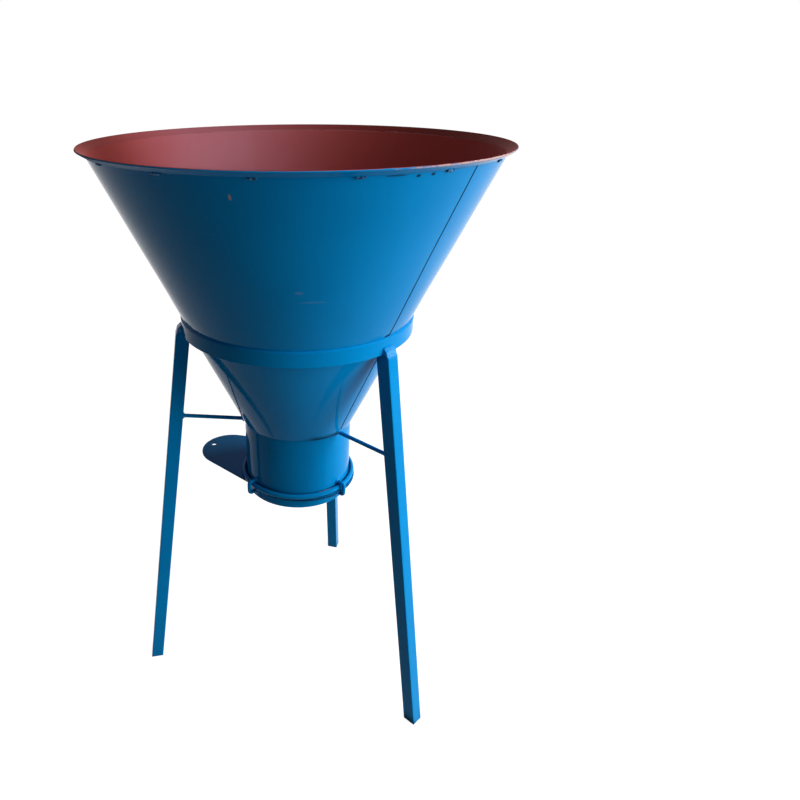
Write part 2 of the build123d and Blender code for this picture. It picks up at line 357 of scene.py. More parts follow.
def bent_path(corners, radius, steps=9):
    """Path through corners with square bends: each bend is a quarter circle of the radius."""
    corners = np.asarray(corners, float)
    pieces = [corners[:1]]
    for last, corner, ahead in zip(corners[:-2], corners[1:-1], corners[2:]):
        back, on = unit(last - corner), unit(ahead - corner)
        turn = np.linspace(0, math.pi / 2, steps)[:, None]
        pieces.append(corner + radius * (back + on) - radius * (on * np.cos(turn) + back * np.sin(turn)))
    return np.vstack(pieces + [corners[-1:]])


def bead(path, up, width, height, pitch, closed=False):
    """Weld bead: an ellipse carried along a path, wide across it and high along up. Its size swells and
    shrinks with each ripple of the weld and with two slower waves, and an open bead's ends are rounded."""
    if closed:
        along = unit(np.roll(path, -1, axis=0) - np.roll(path, 1, axis=0))
    else:
        along = unit(np.gradient(path, axis=0))
    across = np.cross(along, up)
    gone = np.r_[0, np.cumsum(np.linalg.norm(np.diff(path, axis=0), axis=1))]
    waves = max(1, round(gone[-1] / pitch))
    share = gone / gone[-1] * (1 - 1 / len(path)) if closed else gone / gone[-1]
    swell = 0.92 + 0.16 * np.abs(np.sin(math.pi * waves * share))
    swell += 0.10 * np.sin(math.tau * (waves // 3 + 1) * share + 1.3)
    swell += 0.07 * np.sin(math.tau * (waves // 5 + 2) * share + 4.1)
    if not closed:
        swell *= np.clip(1 - np.abs(2 * share - 1) ** 6, 0, 1) ** 0.5
    turn = np.linspace(0, math.tau, BEAD_STEPS, endpoint=False)[None, :, None]
    oval = width * np.cos(turn) * across[:, None] + height * np.sin(turn) * up.reshape(-1, 1, 3)
    return path[:, None] + swell[:, None, None] * oval


def ring_bead(centre, normal, side, bead_size):
    """Weld bead in a circle round a rod's end: the circle lies on the wall with this normal."""
    turn = np.linspace(0, math.tau, 2 * ROD_STEPS, endpoint=False)[:, None]
    circle = np.cos(turn) * side + np.sin(turn) * np.cross(normal, side)
    return bead(centre + (ROD_RADIUS + BEAD_OFFSET) * circle, normal, *bead_size, closed=True)


def grid_mesh(grid, closed, attributes):
    """Mesh whose quads join each grid point to its neighbours. Every row is a loop, and a closed grid's
    last row joins its first."""
    rows, columns = grid.shape[:2]
    index = np.arange(rows * columns).reshape(rows, columns)
    if closed:
        index = np.vstack([index, index[:1]])
    index = np.hstack([index, index[:, :1]])
    quads = np.stack([index[:-1, :-1], index[1:, :-1], index[1:, 1:], index[:-1, 1:]], axis=-1)
    mesh = bpy.data.meshes.new("grid")
    mesh.from_pydata(grid.reshape(-1, 3).tolist(), [], quads.reshape(-1, 4).tolist())
    for key, values in attributes.items():
        layer = mesh.attributes.new(key, "FLOAT", "POINT")
        layer.data.foreach_set("value", np.broadcast_to(values, (rows, columns)).astype(np.float32).ravel())
    return mesh


def put(name, *grids, closed=False, **attributes):
    """New object of one surface, or of several like ones such as a set of welds. Points that coincide are
    merged, which closes poles and seams, and a negative volume says that the faces have to be turned
    outwards."""
    shell = bmesh.new()
    for grid in grids:
        mesh = grid_mesh(grid, closed, attributes)
        shell.from_mesh(mesh)
        bpy.data.meshes.remove(mesh)
    bmesh.ops.remove_doubles(shell, verts=shell.verts, dist=MERGE_DISTANCE)
    if shell.calc_volume(signed=True) < 0:
        bmesh.ops.reverse_faces(shell, faces=shell.faces)
    mesh = bpy.data.meshes.new(name)
    shell.to_mesh(mesh)
    shell.free()
    mesh.shade_smooth()
    mesh.set_sharp_from_angle(angle=SHARP_ANGLE)
    piece = bpy.data.objects.new(name, mesh)
    bpy.context.scene.collection.objects.link(piece)
    return piece


def dress(piece, material, body, slot, *nodes):
    """Give a piece its material and the body it rides on, and hide the solids it stands for. The record slot
    it is given is not used.
    """
    piece.data.materials.append(material)
    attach(piece, body)
    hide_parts(*nodes)


def linear(hex_colour):
    """Linear RGBA of an sRGB hex value."""
    srgb = np.array([int(hex_colour[i:i + 2], 16) for i in (1, 3, 5)]) / 255
    rgb = np.where(srgb <= 0.04045, srgb / 12.92, ((srgb + 0.055) / 1.055) ** 2.4)
    return (*rgb.tolist(), 1.0)


def tint(name):
    """Linear colour of one of the finish settings."""
    return linear(getattr(bpy.context.scene.funnel_finish, name))


def add(tree, kind, links=None, output=None, **settings):
    """Add a node and give one of its outputs, the named one or else the first in use. Settings are the
    node's own attributes, and links hold values or sockets for its inputs."""
    node = tree.nodes.new("ShaderNode" + kind)
    for key, value in settings.items():
        setattr(node, key, value)
    for key, value in (links or {}).items():
        if isinstance(value, bpy.types.NodeSocket):
            tree.links.new(value, node.inputs[key])
        else:
            node.inputs[key].default_value = value
    if output:
        return node.outputs[output]
    return next((socket for socket in node.outputs if socket.enabled), None)


def new_material(name):
    """Empty node material, its tree and the socket of object coordinates in it."""
    material = bpy.data.materials.new(name)
    material.use_nodes = True
    tree = material.node_tree
    tree.nodes.clear()
    return material, tree, add(tree, "TexCoord", output="Object")


def per_metre(millimetres):
    """Texture scale that gives a feature of this size."""
    return 1000 / millimetres


def marks_on_cone(tree, where, ragged, marks):
    """Socket that gives each mark's strength within it: distance from its middle in half widths and half
    heights, made ragged by noise, and cut off at about 1."""
    total = None
    for turn, height, wide, tall, strength in marks:
        middle = cone_radius(height) * outward(math.radians(turn)) + height * UP
        away = add(tree, "VectorMath", {0: where, 1: middle}, operation="SUBTRACT")
        shares = add(tree, "VectorMath", {0: away, 1: (1 / wide, 1 / wide, 1 / tall)}, operation="MULTIPLY")
        far = add(tree, "VectorMath", {0: shares}, operation="LENGTH")
        frayed = add(tree, "Math", {0: far, 1: ragged}, operation="ADD")
        mark = add(tree, "MapRange", {"Value": frayed, "From Min": 1.7, "From Max": 1.2, "To Max": strength})
        total = mark if total is None else add(tree, "Math", {0: total, 1: mark}, operation="MAXIMUM")
    return total


def paint_line(tree, where):
    """Socket that is 1 on the red lining and 0 outside, from the lining attribute. Its edge on the rim
    wanders by about 4 mm."""
    ragged = add(tree, "TexNoise", {"Vector": where, "Scale": per_metre(7), "Detail": 2.0})
    lining = add(tree, "Attribute", output="Fac", attribute_name="lining")
    wander = add(tree, "Math", {0: ragged, 1: 0.5, 2: lining}, operation="MULTIPLY_ADD")
    return add(tree, "MapRange", {"Value": wander, "From Min": 0.85, "From Max": 0.95})


def red_oxide(tree, where):
    """Colour of the red lining: primer under stone dust with a painted sheen where the dust attribute says,
    in patches about 60 mm wide, and darkened as painted shade where its own attribute says."""
    patch = add(tree, "TexNoise", {"Vector": where, "Scale": per_metre(60), "Detail": 6.0})
    spread = add(tree, "MapRange", {"Value": patch, "To Min": 0.6, "To Max": 1.3})
    # Stone dust with a painted sheen
    film = add(tree, "Attribute", output="Fac", attribute_name="dust")
    dust = add(tree, "Math", {0: film, 1: spread}, operation="MULTIPLY")
    dust_and_sheen_colour = add(tree, "Mix", {"Factor": dust, "A": tint("oxide"), "B": tint("oxide_dust")}, data_type="RGBA")
    # Painted shade
    painted_shade = add(tree, "Attribute", output="Fac", attribute_name="painted_shade")
    return add(tree, "Mix", {"Factor": painted_shade, "A": dust_and_sheen_colour, "B": tint("oxide_in_shade")}, data_type="RGBA")


def alkyd_enamel(name, lined=False):
    """Sprayed alkyd enamel on steel: glossy, with orange peel, a faintly uneven coat, pale worn edges with
    painted glints, and
    dark marks: scorch, stains and painted shade. On the lined hopper the inside shows satin red oxide primer
    with a film of stone dust, a painted sheen and painted shade."""
    material, tree, where = new_material(name)
    # Coat thickness drifts over about a hand's width
    drift = add(tree, "TexNoise", {"Vector": where, "Scale": per_metre(85), "Detail": 3.0})
    colour = add(tree, "Mix", {"Factor": drift, "A": tint("enamel_thin"), "B": tint("enamel")},
                 data_type="RGBA")
    # Smudges and dust change the gloss over about 25 mm
    smudge = add(tree, "TexNoise", {"Vector": where, "Scale": per_metre(25), "Detail": 5.0})
    rough = add(tree, "MapRange", {"Value": smudge, "From Min": 0.3, "From Max": 0.75,
                                   "To Min": 0.05, "To Max": 0.11})
    mirror = ENAMEL_MIRROR
    # Dark marks, from their attribute: painted shade in the corners, the gaps, the open seam and under the
    # lip, and darker sides of the feet
    grime = add(tree, "Attribute", output="Fac", attribute_name="grime")
    # Pale marks, from their attribute, broken up by chips about 5 mm long: worn edges, and painted glints on
    # the rim's edge and the ring
    wear = add(tree, "Attribute", output="Fac", attribute_name="wear")
    chips = add(tree, "TexNoise", {"Vector": where, "Scale": per_metre(5), "Detail": 4.0})
    pale_mark = add(tree, "Math", {0: wear, 1: chips}, operation="MULTIPLY")
    pale_marks = add(tree, "MapRange", {"Value": pale_mark, "From Min": 0.30, "From Max": 0.42})
    if lined:
        inside = paint_line(tree, where)
        colour = add(tree, "Mix", {"Factor": inside, "A": colour, "B": red_oxide(tree, where)},
                     data_type="RGBA")
        rough = add(tree, "Mix", {"Factor": inside, "A": rough, "B": 0.5})
        mirror = add(tree, "Mix", {"Factor": inside, "A": mirror, "B": PRIMER_MIRROR})
        # Pale chips on the cone, and dark spots: a stain, scorched tacks and a line of painted shade under
        # the lip
        chipped = marks_on_cone(tree, where, chips, CHIPS)
        spotted = marks_on_cone(tree, where, chips, DARK_SPOTS)
        pale_marks = add(tree, "Math", {0: pale_marks, 1: chipped}, operation="MAXIMUM")
        grime = add(tree, "Math", {0: grime, 1: spotted}, operation="MAXIMUM")
    darkened = add(tree, "Mix", {"Factor": grime, "A": colour, "B": tint("scorch")}, data_type="RGBA")
    worn = add(tree, "Mix", {"Factor": pale_marks, "A": darkened, "B": tint("primer")}, data_type="RGBA")
    # Dark and pale marks are matt
    matt = add(tree, "Math", {0: grime, 1: pale_marks}, operation="MAXIMUM")
    rough = add(tree, "Mix", {"Factor": matt, "A": rough, "B": 0.6})
    mirror = add(tree, "Mix", {"Factor": matt, "A": mirror, "B": MATT_MIRROR})
    # Orange peel: ripples about 4 mm wide, coarser than the real 2 mm so that they show
    peel = add(tree, "TexNoise", {"Vector": where, "Scale": per_metre(4), "Detail": 1.0})
    bump = add(tree, "Bump", {"Height": peel, "Strength": 0.25, "Distance": 0.0002})
    shader = add(tree, "BsdfPrincipled", {
        "Base Color": worn, "Roughness": rough, "Normal": bump, "IOR": 1.5, "Specular IOR Level": mirror,
        "Specular Tint": tint("sheen")})
    add(tree, "OutputMaterial", {"Surface": shader})
    return material


def scorched_weld(name):
    """Painted arc weld: blue enamel over a rough bead, with scorched pits where the paint did not take."""
    material, tree, where = new_material(name)
    # Pits about 3 mm wide, more of them where the scorch attribute is high
    pits = add(tree, "TexNoise", {"Vector": where, "Scale": per_metre(3), "Detail": 3.0})
    scorch = add(tree, "Attribute", output="Fac", attribute_name="scorch")
    heat = add(tree, "Math", {0: pits, 1: scorch}, operation="ADD")
    burnt = add(tree, "MapRange", {"Value": heat, "From Min": 0.66, "From Max": 0.76})
    colour = add(tree, "Mix", {"Factor": burnt, "A": tint("enamel"), "B": tint("scorch")}, data_type="RGBA")
    rough = add(tree, "MapRange", {"Value": burnt, "To Min": 0.14, "To Max": 0.6})
    bump = add(tree, "Bump", {"Height": pits, "Strength": 0.5, "Distance": 0.0006})
    shader = add(tree, "BsdfPrincipled", {
        "Base Color": colour, "Roughness": rough, "Normal": bump, "IOR": 1.5, "Specular IOR Level": 0.12})
    add(tree, "OutputMaterial", {"Surface": shader})
    return material


def red_oxide_weld(name):
    """Arc weld under satin red oxide primer, as inside the hopper."""
    material, tree, where = new_material(name)
    # Spatter and dust about 6 mm wide
    dust = add(tree, "TexNoise", {"Vector": where, "Scale": per_metre(6), "Detail": 4.0})
    colour = add(tree, "Mix", {"Factor": dust, "A": tint("oxide"), "B": tint("oxide_dust")}, data_type="RGBA")
    bump = add(tree, "Bump", {"Height": dust, "Strength": 0.4, "Distance": 0.0005})
    shader = add(tree, "BsdfPrincipled", {
        "Base Color": colour, "Roughness": 0.45, "Normal": bump, "IOR": 1.5, "Specular IOR Level": 0.08})
    add(tree, "OutputMaterial", {"Surface": shader})
    return material


def shared(name, make, *settings):
    """Material of this name, made once."""
    return bpy.data.materials.get(name) or make(name, *settings)


def enamel():
    """Blue enamel of the stand, the spout and the gate."""
    return shared("alkyd_enamel_on_steel", alkyd_enamel)


def lined_enamel():
    """Blue enamel outside and red oxide primer inside, for the hopper and its hoop."""
    return shared("alkyd_enamel_over_red_oxide", alkyd_enamel, True)


def weld_paint():
    """Paint of the welds outside."""
    return shared("scorched_weld_under_enamel", scorched_weld)


def oxide_weld_paint():
    """Paint of the welds inside the hopper."""
    return shared("red_oxide_on_weld", red_oxide_weld)


def inside_marks(turn, lining):
    """Dust and painted shade on the red lining by angle: stone dust with a painted sheen lies at the back,
    and painted shade on the side by the gate's handle."""
    return {"lining": lining, "dust": round_patch(turn, DUST_AND_SHEEN), "painted_shade": 0.75 * round_patch(turn, LINING_SHADE)}


class FUNNEL_OT_hopper(bpy.types.Operator):
    """Rolled hopper cone with an open seam"""

    bl_idname = "funnel.hopper"
    bl_label = "Hopper cone"

    def execute(self, context):
        size = sizes()
        slope = size.cone_half_angle
        wall = size.sheet / math.cos(slope)
        low, high = cone_radius(CONE_BOTTOM), cone_radius(CONE_TOP)
        profile = rounded_loop(
            [(low - wall, CONE_BOTTOM), (low, CONE_BOTTOM), (high, CONE_TOP), (high - wall, CONE_TOP)],
            size.edge_round, [0, 48, 0, 48])
        # Distance of each profile point from the sheet's middle, outwards
        normal = np.array([math.cos(slope), -math.sin(slope)])
        offset = (profile - (low - wall / 2, CONE_BOTTOM)) @ normal
        # Rows run from one lip of the seam round to the other, where the sheet's edges round off
        lips = size.seam_width * np.array([0.25, 0.6, 1.2, 2.2])
        beside = lips[:, None] / profile[:, 0]
        around = np.linspace(0.03, math.tau - 0.03, SHEET_STEPS)[:, None] + 0 * beside[:1]
        turn = size.seam_angle + np.vstack([beside, around, math.tau - beside[::-1]])
        thick = np.ones(len(turn))
        thick[:2] = thick[-1:-3:-1] = (0.25, 0.8)
        section = profile - ((1 - thick)[:, None] * offset)[..., None] * normal
        # Waves of the rolled sheet, which die out at the band and at both edges
        height = profile[:, 1]
        share = (height - CONE_BOTTOM) / (CONE_TOP - CONE_BOTTOM)
        calm = np.sin(math.pi * np.clip(share, 0, 1)) * (1 - np.exp(-((height - BAND_TOP) / 0.03) ** 2))
        wave = sum(strength * np.sin(count * turn + shift * share + phase)
                   for strength, count, shift, phase in SHEET_WAVES)
        wave = size.dent_depth * wave * calm
        # The lower edge stands off the spout at the right front, where no weld holds it
        loose = round_patch(turn, LOOSE_EDGE)
        wave = wave + LOOSE_GAP * loose * np.exp(-(height - CONE_BOTTOM) / LOOSE_HEIGHT)
        # Painted shade in the open seam and on the loose cut edge
        to_seam = np.minimum(turn - turn[0], turn[-1] - turn) * profile[:, 0]
        seam = np.clip(1.8 - to_seam / size.seam_width, 0, 1)
        cut_edge = np.clip(2 * loose, 0, 1) * np.clip(2 - (height - CONE_BOTTOM) / 0.0008, 0, 1)
        inside = inside_marks(turn, np.clip(0.5 - offset / size.sheet, 0, 1))
        piece = put("hopper_sheet", turned(section + wave[..., None] * normal, turn), closed=True,
                    grime=np.maximum(seam, cut_edge), **inside)
        dress(piece, lined_enamel(), "stand", "hopper_enamel", "hopper_cone")
        return {"FINISHED"}


class FUNNEL_OT_rim(bpy.types.Operator):
    """Flared hoop on the hopper's top edge, with its tack welds"""

    bl_idname = "funnel.rim"
    bl_label = "Rim hoop"

    def execute(self, context):
        size = sizes()
        slope = size.lip_angle
        inner = cone_radius(CONE_TOP) - size.sheet / math.cos(size.cone_half_angle)
        foot = inner + size.sheet / math.cos(slope)
        edge = HOOP_BOTTOM + (RIM_RADIUS - foot) / math.tan(slope)
        top = (RIM_RADIUS - size.sheet * math.cos(slope), edge + size.sheet * math.sin(slope))
        profile = rounded_loop([(inner, HOOP_BOTTOM), (foot, HOOP_BOTTOM), (RIM_RADIUS, edge), top],
                               size.edge_round, [0, 5, 0, 5])
        normal = np.array([math.cos(slope), -math.sin(slope)])
        offset = (profile - (foot, HOOP_BOTTOM)) @ normal + size.sheet / 2
        # Pale on the edge, at the right front only: worn paint and a painted highlight
        turn = full_turn()
        from_edge = (RIM_RADIUS - profile[:, 0]) / 0.0012
        wear = 1.5 * np.exp(-from_edge) * round_patch(turn, LIP_WEAR_AND_GLINT)
        inside = inside_marks(turn, np.clip(0.5 - offset / size.sheet, 0, 1))
        # Painted shade on the lip's inner face at the back
        inside["painted_shade"] = inside["painted_shade"] + 0.95 * round_patch(turn, LIP_INNER_SHADE)
        # Painted shade under the lip and on its edge, on the side away from the painted highlight
        lip_underside_and_edge = np.maximum(1 - inside["lining"], np.clip(1.5 - from_edge, 0, 1))
        darkening = 0.95 * round_patch(turn, LIP_UNDERSIDE_SHADE) * lip_underside_and_edge
        piece = put("rim_strip", turned(profile, turn), closed=True, wear=wear, grime=darkening, **inside)
        dress(piece, lined_enamel(), "stand", "hopper_enamel", "rim_hoop")
        # Tacks lie in the corner between the cone and the hoop's underside
        radius = (cone_radius(CONE_TOP) + foot) / 2
        tacks = []
        for number in range(TACKS):
            start = size.seam_angle + math.tau / TACKS * (number + 0.5)
            span = start + np.linspace(0, TACK_LENGTH / radius, 24)
            path = about_axis(radius, CONE_TOP - 0.001, span)
            tacks.append(bead(path, about_axis(1, -1, span) / math.sqrt(2), *TACK_BEAD))
        piece = put("rim_tack_beads", *tacks, scorch=0.22)
        dress(piece, weld_paint(), "stand", "hopper_enamel", "rim_tacks")
        return {"FINISHED"}


class FUNNEL_OT_inside_welds(bpy.types.Operator):
    """Weld beads inside the hopper: down the seam, and round the spout's top"""

    bl_idname = "funnel.inside_welds"
    bl_label = "Inside welds"

    def execute(self, context):
        size = sizes()
        slope = size.cone_half_angle
        wall = size.sheet / math.cos(slope)
        away = outward(size.seam_angle)
        height = np.linspace(SEAM_BEAD_BOTTOM + 0.004, SEAM_BEAD_TOP - 0.002, SEAM_STEPS)[:, None]
        up = math.sin(slope) * UP - math.cos(slope) * away
        path = (cone_radius(height) - wall) * away + height * UP + 0.001 * up
        piece = put("seam_bead", bead(path, up, *SEAM_BEAD))
        dress(piece, oxide_weld_paint(), "stand", "lining_primer", "seam_weld")
        turn = np.linspace(0, math.tau, SPOUT_BEAD_STEPS, endpoint=False)
        path = about_axis(SPOUT_RADIUS + 0.0004, SPOUT_TOP + 0.0012, turn)
        up = about_axis(-1, 1, turn) / math.sqrt(2)
        piece = put("spout_bead", bead(path, up, *SPOUT_BEAD, closed=True), closed=True)
        dress(piece, oxide_weld_paint(), "stand", "lining_primer", "spout_weld")
        return {"FINISHED"}


class FUNNEL_OT_spout(bpy.types.Operator):
    """Spout tube, its rod ring and the outlet collar under the gate"""

    bl_idname = "funnel.spout"
    bl_label = "Spout, ring and collar"

    def execute(self, context):
        size = sizes()
        turn = full_turn()
        inner = SPOUT_RADIUS - size.sheet
        ring_rod = (RING_TOP - RING_BOTTOM) / 2
        ring_middle = RING_BOTTOM + ring_rod
        tubes = (("spout_wall", "spout_tube", SPOUT_BOTTOM, SPOUT_TOP),
                 ("collar_wall", "outlet_collar", COLLAR_BOTTOM, COLLAR_TOP))
        # Painted shade: dark lines in the gap under the cone's loose edge at the right front, above the ring
        # and along the slot
        loose = np.clip(2 * round_patch(turn, LOOSE_EDGE), 0, 1)
        for name, node, low, high in tubes:
            profile = rounded_loop([(inner, low), (SPOUT_RADIUS, low), (SPOUT_RADIUS, high), (inner, high)],
                                   size.edge_round, [0, 60, 0, 12])
            height = profile[:, 1]
            darkening = loose * np.clip((height - CONE_BOTTOM) / 0.0015 + 1.2, 0, 1)
            for level, spread in ((ring_middle, 0.0026), (COLLAR_TOP, 0.0022)):
                darkening = darkening + 0.8 * np.exp(-((height - level) / spread) ** 2)
            piece = put(name, turned(profile, turn), closed=True, grime=np.clip(darkening, 0, 1))
            dress(piece, enamel(), "stand", "spout_enamel", node)
        roll = np.linspace(0, math.tau, 24, endpoint=False)
        circle = np.stack([RING_OUTSIDE - ring_rod + ring_rod * np.cos(roll),
                           ring_middle + ring_rod * np.sin(roll)], axis=-1)
        # Painted glint on its upper side at the right front, in the pale worn-edge colour
        painted_glint = 1.1 * np.clip(np.sin(roll - 0.4), 0, 1) ** 8 * round_patch(turn, RING_GLINT)
        # Painted shade in the corner towards the spout and on the underside
        darkening = np.maximum(np.clip(-4 * np.cos(roll) - 0.2, 0, 1), np.clip(-4 * np.sin(roll) - 2.2, 0, 1))
        piece = put("spout_rod_ring", turned(circle, turn), closed=True, wear=painted_glint, grime=0.8 * darkening)
        dress(piece, enamel(), "stand", "spout_enamel", "spout_ring")
        return {"FINISHED"}


class FUNNEL_OT_clips(bpy.types.Operator):
    """Rod clips that carry the collar, with their weld beads"""

    bl_idname = "funnel.clips"
    bl_label = "Clips"

    def execute(self, context):
        size = sizes()
        near, far = SPOUT_RADIUS, (CLIP_REACH - ROD_RADIUS) / math.cos(size.stop_angle)
        upper, lower = CLIP_TOP - ROD_RADIUS, CLIP_BOTTOM + ROD_RADIUS
        angles = {"guide_clip_front": math.pi + size.guide_angle,
                  "guide_clip_rear": math.pi - size.guide_angle,
                  "stop_clip": size.stop_angle}
        beads = []
        for node, angle in angles.items():
            away, side = outward(angle), outward(angle - math.pi / 2)
            corners = [away * near + UP * upper, away * far + UP * upper,
                       away * far + UP * lower, away * near + UP * lower]
            piece = put(f"{node}_rod", rod(bent_path(corners, size.clip_bend), side))
            dress(piece, enamel(), "stand", "spout_enamel", node)
            upper_weld, lower_weld = (ring_bead(end, away, side, CLIP_BEAD)
                                      for end in (corners[0], corners[-1]))
            # The lower weld is ground flush with the collar's top, where the gate slides
            lower_weld[..., 2] = np.minimum(lower_weld[..., 2], COLLAR_TOP)
            beads += [upper_weld, lower_weld]
        piece = put("clip_beads", *beads, closed=True)
        dress(piece, weld_paint(), "stand", "spout_enamel", "clip_welds")
        return {"FINISHED"}


class FUNNEL_OT_gate(bpy.types.Operator):
    """Sliding gate plate with its pull hole"""

    bl_idname = "funnel.gate"
    bl_label = "Gate plate"

    def execute(self, context):
        size = sizes()
        soft = size.edge_round
        wide, tip_radius = GATE_HIGH.y, size.gate_tip_radius
        low, high = GATE_LOW.z, GATE_HIGH.z
        home, tip = GATE_HIGH.x - wide, GATE_LOW.x + tip_radius
        hole = np.array([GATE_LOW.x + size.pull_hole_to_tip, 0.0])
        # The sides are the lines that touch both round ends
        side = math.acos((tip_radius - wide) / (home - tip))
        turn = np.r_[np.linspace(-side, side, GATE_END_STEPS),
                     np.linspace(side, math.tau - side, GATE_TIP_STEPS)]
        away = np.c_[np.cos(turn), np.sin(turn)]
        rim = np.vstack([(home, 0.0) + wide * away[:GATE_END_STEPS],
                         (tip, 0.0) + tip_radius * away[GATE_END_STEPS:]])
        bearing = unit(rim - hole)
        # Across: along the top from the hole to the edge, round the edge, back below and up through the hole
        inner = hole + bearing * (size.pull_hole_radius + soft)
        outer = rim - away * soft
        spread = [inner + (outer - inner) * share for share in np.linspace(0, 1, 9)]
        bends = np.linspace(0, math.pi, 7)[1:-1]
        half = (high - low) / 2
        rows = [(flat, high) for flat in spread]
        rows += [(outer + away * soft * math.sin(bend), low + half + half * math.cos(bend)) for bend in bends]
        rows += [(flat, low) for flat in reversed(spread)]
        rows += [(hole + bearing * size.pull_hole_radius, level) for level in (low + soft, high - soft)]
        grid = np.stack([np.c_[flat, np.full(len(flat), level)] for flat, level in rows], axis=1)
        # Painted shade on the round edge that stays in the slot
        darkening = np.zeros(grid.shape[:2])
        darkening[:GATE_END_STEPS, len(spread):len(spread) + len(bends)] = 0.8
        piece = put("gate_paddle", grid, closed=True, grime=darkening)
        dress(piece, enamel(), "gate", "gate_enamel", "gate_plate")
        return {"FINISHED"}


class FUNNEL_OT_band(bpy.types.Operator):
    """Flat-bar band that holds the cone"""

    bl_idname = "funnel.band"
    bl_label = "Support band"

    def execute(self, context):
        size = sizes()
        inner = BAND_OUTSIDE - size.band_sheet
        # Paint fills the corner between the band's top edge and the cone
        filled = BAND_TOP + 0.7 * size.band_sheet
        profile = rounded_loop([(inner, BAND_BOTTOM), (BAND_OUTSIDE, BAND_BOTTOM), (BAND_OUTSIDE, BAND_TOP),
                                (cone_radius(filled) - size.edge_round, filled),
                                (inner - size.sheet / 2, BAND_TOP - size.sheet)],
                               size.edge_round, [0, 4, 1, 1, 4])
        piece = put("band_bar", turned(profile, full_turn()), closed=True)
        dress(piece, enamel(), "stand", "stand_enamel", "support_band")
        return {"FINISHED"}


def leg_lean():
    """Lean of a leg from upright: its outer wall runs from the foot to a shoulder outside the band."""
    size = sizes()
    inwards = size.foot_radius - BAND_OUTSIDE - size.leg_outside_band
    span = math.hypot(inwards, LEG_TOP)
    return math.atan2(inwards, LEG_TOP) + math.asin(size.leg_tube / 2 / span)


def leg_tube():
    """Square tube as three grids, outwards, sideways and upwards: a rounded square at levels that lie
    closer together at the foot. At the top its outer edge rounds off to the closed end, and at the foot
    the wall turns in, up to a plug."""
    size = sizes()
    lean = leg_lean()
    half = size.leg_tube / 2
    square = rounded_loop([(-half, -half), (half, -half), (half, half), (-half, half)], size.leg_corner,
                          [2, 2, 2, 2])
    deep, wide = square.T
    bend = np.linspace(0, math.pi / 2, 9)[1:]
    straight = (LEG_TOP - size.leg_shoulder) * np.linspace(0, 1, 40) ** 1.6
    height = np.r_[straight, LEG_TOP - size.leg_shoulder * (1 - np.sin(bend))][:, None]
    limit = np.r_[np.full_like(straight, half), half - size.leg_shoulder * (1 - np.cos(bend))][:, None]
    plan = size.foot_radius + np.minimum(deep, limit) / math.cos(lean) - height * math.tan(lean)
    # Rows before the levels: the plug's middle, the plug's edge and the wall's inside at the floor
    bore = 1 - size.leg_wall / half
    inwards = PLUG_HEIGHT * math.tan(lean)
    inner = size.foot_radius + (plan[0] - size.foot_radius) * bore
    none = 0 * wide
    outwards = [none + size.foot_radius - inwards, inner - inwards, inner, plan, none + plan[-1].mean()]
    sideways = [none, wide * bore, wide * bore, np.broadcast_to(wide, plan.shape), none]
    upwards = [none + PLUG_HEIGHT, none + PLUG_HEIGHT, none, height + none, none + LEG_TOP]
    return np.vstack(outwards), np.vstack(sideways), np.vstack(upwards)


def leg_weld():
    """Weld on a leg's top as three grids, outwards, sideways and upwards: a rounded profile, which fills
    the corner from the leg's outer wall up to the band's face, carried across the leg. It swells with each
    ripple and shrinks to a blunt end on both sides."""
    size = sizes()
    lap = size.leg_outside_band
    # Corners, from the band's face outwards and from the leg's top upwards
    corners = [(-0.001, -0.004), (lap + 0.0004, -0.0045), (0.75 * lap, 0.0050), (0.0004, 0.0100),
               (-0.001, 0.0100)]
    profile = rounded_loop(corners, 0.0016, [2, 2, 4, 1, 2])
    share = np.linspace(-1, 1, 61)
    swell = 1 - 0.25 * np.abs(share) ** 6 + 0.035 * np.sin(11 * share + 0.6) + 0.03 * np.sin(5 * share)
    swell = np.r_[0, swell, 0][:, None]
    sideways = np.r_[share[:1], share, share[-1:]][:, None] * size.leg_tube / 2
    middle = profile.mean(axis=0)
    outwards = BAND_OUTSIDE + middle[0] + swell * (profile[:, 0] - middle[0])
    upwards = LEG_TOP + middle[1] + swell * (profile[:, 1] - middle[1])
    return outwards, np.broadcast_to(sideways, outwards.shape), upwards


def stood_at(angle, outwards, sideways, upwards):
    """Grid of points from distances away from the axis at an angle, sideways to that and upwards."""
    directions = outward(angle), outward(angle + math.pi / 2), UP
    distances = outwards, sideways, upwards
    return sum(distance[..., None] * direction for distance, direction in zip(distances, directions))


class FUNNEL_OT_legs(bpy.types.Operator):
    """Square tube legs with closed tops, with their weld beads"""

    bl_idname = "funnel.legs"
    bl_label = "Legs"

    def execute(self, context):
        tube, weld = leg_tube(), leg_weld()
        # The sides of the feet get darker towards the floor, more on some legs than on others
        sideways, upwards = tube[1:]
        darkening = np.exp(-(upwards / FOOT_DARKENING_HEIGHT) ** 2) * (2 * sideways / sizes().leg_tube) ** 2
        for name, angle in leg_angles().items():
            piece = put(f"leg_{name}_tube", stood_at(angle, *tube), grime=FOOT_DARKENING[name] * darkening)
            dress(piece, enamel(), "stand", "stand_enamel", f"leg_{name}")
        piece = put("leg_beads", *(stood_at(angle, *weld) for angle in leg_angles().values()))
        dress(piece, weld_paint(), "stand", "stand_enamel", "leg_welds")
        return {"FINISHED"}


